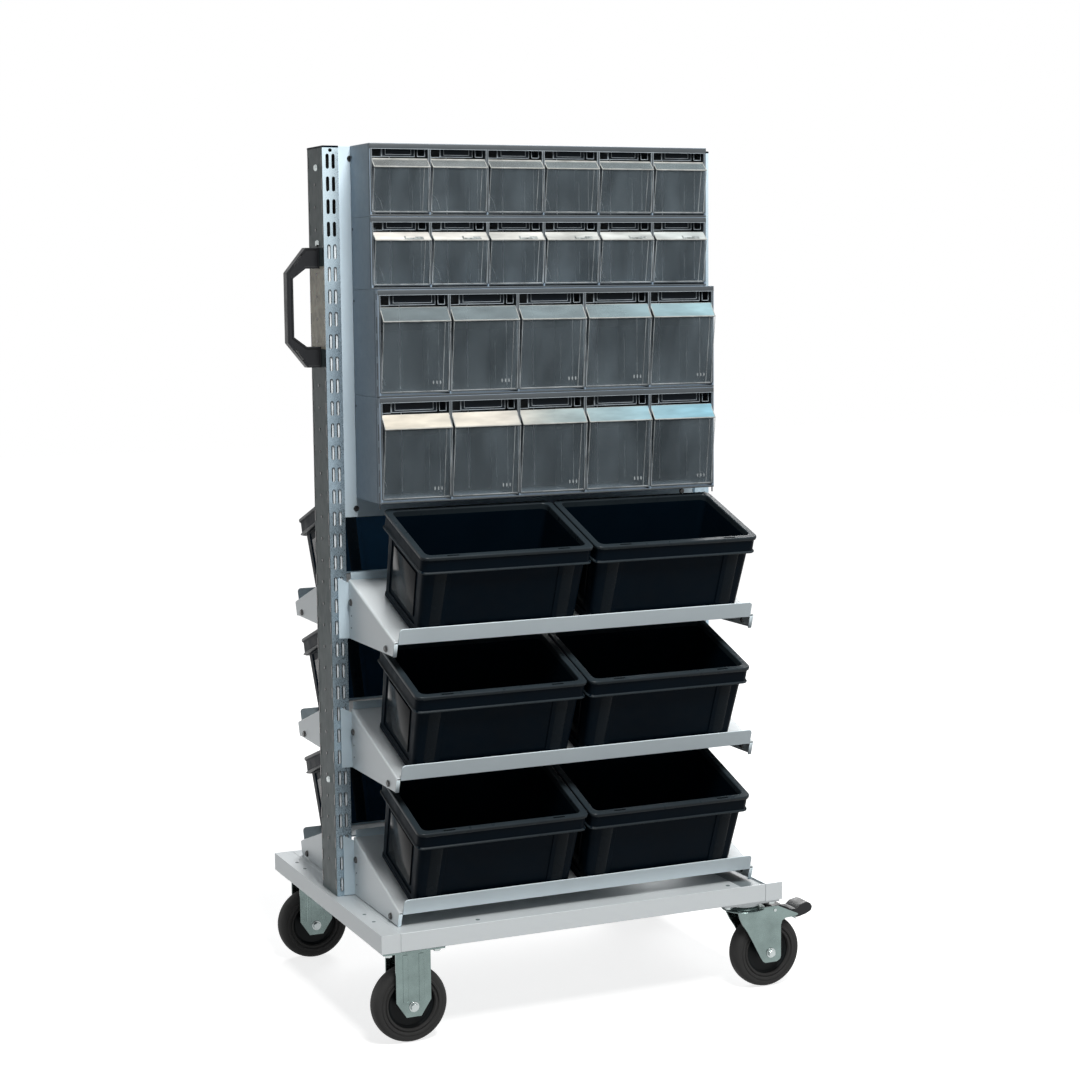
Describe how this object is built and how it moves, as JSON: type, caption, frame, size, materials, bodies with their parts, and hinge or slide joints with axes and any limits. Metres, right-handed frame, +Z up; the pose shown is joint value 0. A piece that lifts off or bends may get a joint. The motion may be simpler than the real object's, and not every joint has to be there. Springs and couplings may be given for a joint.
{
  "type": "mobile bin cart",
  "caption": "Wheeled double-sided rack: slotted uprights, a panel with tilt-out clear bins above, sloping shelves of open containers below, side push handle.",
  "frame": {"origin": "on the floor under the middle of the whole footprint, handle and brake pedals included", "axes": "+Z up, +X from the push handle to the swivel casters, -Y towards the side with the tilt bins"},
  "size_m": [0.8363, 0.616, 1.42],
  "materials": {
    "light_grey_paint": "smooth semi-gloss powder coat",
    "zinc": "bright galvanised",
    "slate_plastic": "satin moulded",
    "clear_plastic": "clear, smoky, glossy",
    "black_plastic": "satin moulded",
    "black_rubber": "matt solid rubber"
  },
  "bodies": {
    "chassis": {"base_frame": "light_grey_paint", "deck": "light_grey_paint", "upright_left": "zinc", "upright_right": "zinc", "back_panel": "light_grey_paint", "push_handle": "black_plastic", "bin_housing_1": "slate_plastic", "bin_housing_2": "slate_plastic", "bin_housing_3": "slate_plastic", "bin_housing_4": "slate_plastic", "shelf_front_1": "light_grey_paint", "shelf_front_2": "light_grey_paint", "shelf_front_3": "light_grey_paint", "shelf_rear_1": "light_grey_paint", "shelf_rear_2": "light_grey_paint", "shelf_rear_3": "light_grey_paint", "fixed_fork_front": "zinc", "fixed_fork_rear": "zinc"},
    "fixed_wheel_front": {"wheel_fixed_front": "black_rubber"},
    "swivel_front": {"swivel_fork_front": "zinc"},
    "swivel_wheel_front": {"wheel_swivel_front": "black_rubber"},
    "brake_front": {"brake_pedal_front": "black_plastic"},
    "fixed_wheel_rear": {"wheel_fixed_rear": "black_rubber"},
    "swivel_rear": {"swivel_fork_rear": "zinc"},
    "swivel_wheel_rear": {"wheel_swivel_rear": "black_rubber"},
    "brake_rear": {"brake_pedal_rear": "black_plastic"},
    "bin_1_1": {"tilt_bin_1_1": "clear_plastic"},
    "bin_1_2": {"tilt_bin_1_2": "clear_plastic"},
    "bin_1_3": {"tilt_bin_1_3": "clear_plastic"},
    "bin_1_4": {"tilt_bin_1_4": "clear_plastic"},
    "bin_1_5": {"tilt_bin_1_5": "clear_plastic"},
    "bin_1_6": {"tilt_bin_1_6": "clear_plastic"},
    "bin_2_1": {"tilt_bin_2_1": "clear_plastic"},
    "bin_2_2": {"tilt_bin_2_2": "clear_plastic"},
    "bin_2_3": {"tilt_bin_2_3": "clear_plastic"},
    "bin_2_4": {"tilt_bin_2_4": "clear_plastic"},
    "bin_2_5": {"tilt_bin_2_5": "clear_plastic"},
    "bin_2_6": {"tilt_bin_2_6": "clear_plastic"},
    "bin_3_1": {"tilt_bin_3_1": "clear_plastic"},
    "bin_3_2": {"tilt_bin_3_2": "clear_plastic"},
    "bin_3_3": {"tilt_bin_3_3": "clear_plastic"},
    "bin_3_4": {"tilt_bin_3_4": "clear_plastic"},
    "bin_3_5": {"tilt_bin_3_5": "clear_plastic"},
    "bin_4_1": {"tilt_bin_4_1": "clear_plastic"},
    "bin_4_2": {"tilt_bin_4_2": "clear_plastic"},
    "bin_4_3": {"tilt_bin_4_3": "clear_plastic"},
    "bin_4_4": {"tilt_bin_4_4": "clear_plastic"},
    "bin_4_5": {"tilt_bin_4_5": "clear_plastic"},
    "container_front_1_left": {"container_front_1_left": "black_plastic"},
    "container_front_1_right": {"container_front_1_right": "black_plastic"},
    "container_front_2_left": {"container_front_2_left": "black_plastic"},
    "container_front_2_right": {"container_front_2_right": "black_plastic"},
    "container_front_3_left": {"container_front_3_left": "black_plastic"},
    "container_front_3_right": {"container_front_3_right": "black_plastic"},
    "container_rear_1_left": {"container_rear_1_left": "black_plastic"},
    "container_rear_1_right": {"container_rear_1_right": "black_plastic"},
    "container_rear_2_left": {"container_rear_2_left": "black_plastic"},
    "container_rear_2_right": {"container_rear_2_right": "black_plastic"},
    "container_rear_3_left": {"container_rear_3_left": "black_plastic"},
    "container_rear_3_right": {"container_rear_3_right": "black_plastic"}
  },
  "joints": [
    {"name": "fixed_wheel_front_spin", "type": "hinge", "parent": "chassis", "child": "fixed_wheel_front", "pos_m": [-0.316, -0.245, 0.0625], "axis": [0, 1, 0], "continuous": true},
    {"name": "swivel_front_turn", "type": "hinge", "parent": "chassis", "child": "swivel_front", "pos_m": [0.292, -0.245, 0.153], "axis": [0, 0, 1], "continuous": true},
    {"name": "swivel_wheel_front_spin", "type": "hinge", "parent": "swivel_front", "child": "swivel_wheel_front", "pos_m": [0.332, -0.245, 0.0625], "axis": [0, 1, 0], "continuous": true},
    {"name": "brake_front_press", "type": "hinge", "parent": "swivel_front", "child": "brake_front", "pos_m": [0.34, -0.245, 0.136], "axis": [0, 1, 0], "range_deg": [0, 9]},
    {"name": "fixed_wheel_rear_spin", "type": "hinge", "parent": "chassis", "child": "fixed_wheel_rear", "pos_m": [-0.316, 0.245, 0.0625], "axis": [0, 1, 0], "continuous": true},
    {"name": "swivel_rear_turn", "type": "hinge", "parent": "chassis", "child": "swivel_rear", "pos_m": [0.292, 0.245, 0.153], "axis": [0, 0, 1], "continuous": true},
    {"name": "swivel_wheel_rear_spin", "type": "hinge", "parent": "swivel_rear", "child": "swivel_wheel_rear", "pos_m": [0.332, 0.245, 0.0625], "axis": [0, 1, 0], "continuous": true},
    {"name": "brake_rear_press", "type": "hinge", "parent": "swivel_rear", "child": "brake_rear", "pos_m": [0.34, 0.245, 0.136], "axis": [0, 1, 0], "range_deg": [0, 9]},
    {"name": "bin_1_1_tilt", "type": "hinge", "parent": "chassis", "child": "bin_1_1", "pos_m": [-0.26054, -0.1163, 1.31415], "axis": [1, 0, 0], "range_deg": [0, 45]},
    {"name": "bin_1_2_tilt", "type": "hinge", "parent": "chassis", "child": "bin_1_2", "pos_m": [-0.16112, -0.1163, 1.31415], "axis": [1, 0, 0], "range_deg": [0, 45]},
    {"name": "bin_1_3_tilt", "type": "hinge", "parent": "chassis", "child": "bin_1_3", "pos_m": [-0.06171, -0.1163, 1.31415], "axis": [1, 0, 0], "range_deg": [0, 45]},
    {"name": "bin_1_4_tilt", "type": "hinge", "parent": "chassis", "child": "bin_1_4", "pos_m": [0.03771, -0.1163, 1.31415], "axis": [1, 0, 0], "range_deg": [0, 45]},
    {"name": "bin_1_5_tilt", "type": "hinge", "parent": "chassis", "child": "bin_1_5", "pos_m": [0.13712, -0.1163, 1.31415], "axis": [1, 0, 0], "range_deg": [0, 45]},
    {"name": "bin_1_6_tilt", "type": "hinge", "parent": "chassis", "child": "bin_1_6", "pos_m": [0.23654, -0.1163, 1.31415], "axis": [1, 0, 0], "range_deg": [0, 45]},
    {"name": "bin_2_1_tilt", "type": "hinge", "parent": "chassis", "child": "bin_2_1", "pos_m": [-0.26054, -0.1163, 1.19915], "axis": [1, 0, 0], "range_deg": [0, 45]},
    {"name": "bin_2_2_tilt", "type": "hinge", "parent": "chassis", "child": "bin_2_2", "pos_m": [-0.16112, -0.1163, 1.19915], "axis": [1, 0, 0], "range_deg": [0, 45]},
    {"name": "bin_2_3_tilt", "type": "hinge", "parent": "chassis", "child": "bin_2_3", "pos_m": [-0.06171, -0.1163, 1.19915], "axis": [1, 0, 0], "range_deg": [0, 45]},
    {"name": "bin_2_4_tilt", "type": "hinge", "parent": "chassis", "child": "bin_2_4", "pos_m": [0.03771, -0.1163, 1.19915], "axis": [1, 0, 0], "range_deg": [0, 45]},
    {"name": "bin_2_5_tilt", "type": "hinge", "parent": "chassis", "child": "bin_2_5", "pos_m": [0.13712, -0.1163, 1.19915], "axis": [1, 0, 0], "range_deg": [0, 45]},
    {"name": "bin_2_6_tilt", "type": "hinge", "parent": "chassis", "child": "bin_2_6", "pos_m": [0.23654, -0.1163, 1.19915], "axis": [1, 0, 0], "range_deg": [0, 45]},
    {"name": "bin_3_1_tilt", "type": "hinge", "parent": "chassis", "child": "bin_3_1", "pos_m": [-0.2506, -0.1433, 1.02915], "axis": [1, 0, 0], "range_deg": [0, 45]},
    {"name": "bin_3_2_tilt", "type": "hinge", "parent": "chassis", "child": "bin_3_2", "pos_m": [-0.1313, -0.1433, 1.02915], "axis": [1, 0, 0], "range_deg": [0, 45]},
    {"name": "bin_3_3_tilt", "type": "hinge", "parent": "chassis", "child": "bin_3_3", "pos_m": [-0.012, -0.1433, 1.02915], "axis": [1, 0, 0], "range_deg": [0, 45]},
    {"name": "bin_3_4_tilt", "type": "hinge", "parent": "chassis", "child": "bin_3_4", "pos_m": [0.1073, -0.1433, 1.02915], "axis": [1, 0, 0], "range_deg": [0, 45]},
    {"name": "bin_3_5_tilt", "type": "hinge", "parent": "chassis", "child": "bin_3_5", "pos_m": [0.2266, -0.1433, 1.02915], "axis": [1, 0, 0], "range_deg": [0, 45]},
    {"name": "bin_4_1_tilt", "type": "hinge", "parent": "chassis", "child": "bin_4_1", "pos_m": [-0.2506, -0.1433, 0.85915], "axis": [1, 0, 0], "range_deg": [0, 45]},
    {"name": "bin_4_2_tilt", "type": "hinge", "parent": "chassis", "child": "bin_4_2", "pos_m": [-0.1313, -0.1433, 0.85915], "axis": [1, 0, 0], "range_deg": [0, 45]},
    {"name": "bin_4_3_tilt", "type": "hinge", "parent": "chassis", "child": "bin_4_3", "pos_m": [-0.012, -0.1433, 0.85915], "axis": [1, 0, 0], "range_deg": [0, 45]},
    {"name": "bin_4_4_tilt", "type": "hinge", "parent": "chassis", "child": "bin_4_4", "pos_m": [0.1073, -0.1433, 0.85915], "axis": [1, 0, 0], "range_deg": [0, 45]},
    {"name": "bin_4_5_tilt", "type": "hinge", "parent": "chassis", "child": "bin_4_5", "pos_m": [0.2266, -0.1433, 0.85915], "axis": [1, 0, 0], "range_deg": [0, 45]},
    {"name": "container_front_1_left_lift", "type": "slide", "parent": "chassis", "child": "container_front_1_left", "axis": [0, -0.3256, 0.9455], "range_m": [0, 0.009]},
    {"name": "container_front_1_right_lift", "type": "slide", "parent": "chassis", "child": "container_front_1_right", "axis": [0, -0.3256, 0.9455], "range_m": [0, 0.009]},
    {"name": "container_front_2_left_lift", "type": "slide", "parent": "chassis", "child": "container_front_2_left", "axis": [0, -0.3256, 0.9455], "range_m": [0, 0.05]},
    {"name": "container_front_2_right_lift", "type": "slide", "parent": "chassis", "child": "container_front_2_right", "axis": [0, -0.3256, 0.9455], "range_m": [0, 0.05]},
    {"name": "container_front_3_left_lift", "type": "slide", "parent": "chassis", "child": "container_front_3_left", "axis": [0, -0.3256, 0.9455], "range_m": [0, 0.05]},
    {"name": "container_front_3_right_lift", "type": "slide", "parent": "chassis", "child": "container_front_3_right", "axis": [0, -0.3256, 0.9455], "range_m": [0, 0.05]},
    {"name": "container_rear_1_left_lift", "type": "slide", "parent": "chassis", "child": "container_rear_1_left", "axis": [0, 0.3256, 0.9455], "range_m": [0, 0.06]},
    {"name": "container_rear_1_right_lift", "type": "slide", "parent": "chassis", "child": "container_rear_1_right", "axis": [0, 0.3256, 0.9455], "range_m": [0, 0.06]},
    {"name": "container_rear_2_left_lift", "type": "slide", "parent": "chassis", "child": "container_rear_2_left", "axis": [0, 0.3256, 0.9455], "range_m": [0, 0.05]},
    {"name": "container_rear_2_right_lift", "type": "slide", "parent": "chassis", "child": "container_rear_2_right", "axis": [0, 0.3256, 0.9455], "range_m": [0, 0.05]},
    {"name": "container_rear_3_left_lift", "type": "slide", "parent": "chassis", "child": "container_rear_3_left", "axis": [0, 0.3256, 0.9455], "range_m": [0, 0.05]},
    {"name": "container_rear_3_right_lift", "type": "slide", "parent": "chassis", "child": "container_rear_3_right", "axis": [0, 0.3256, 0.9455], "range_m": [0, 0.05]}
  ]
}
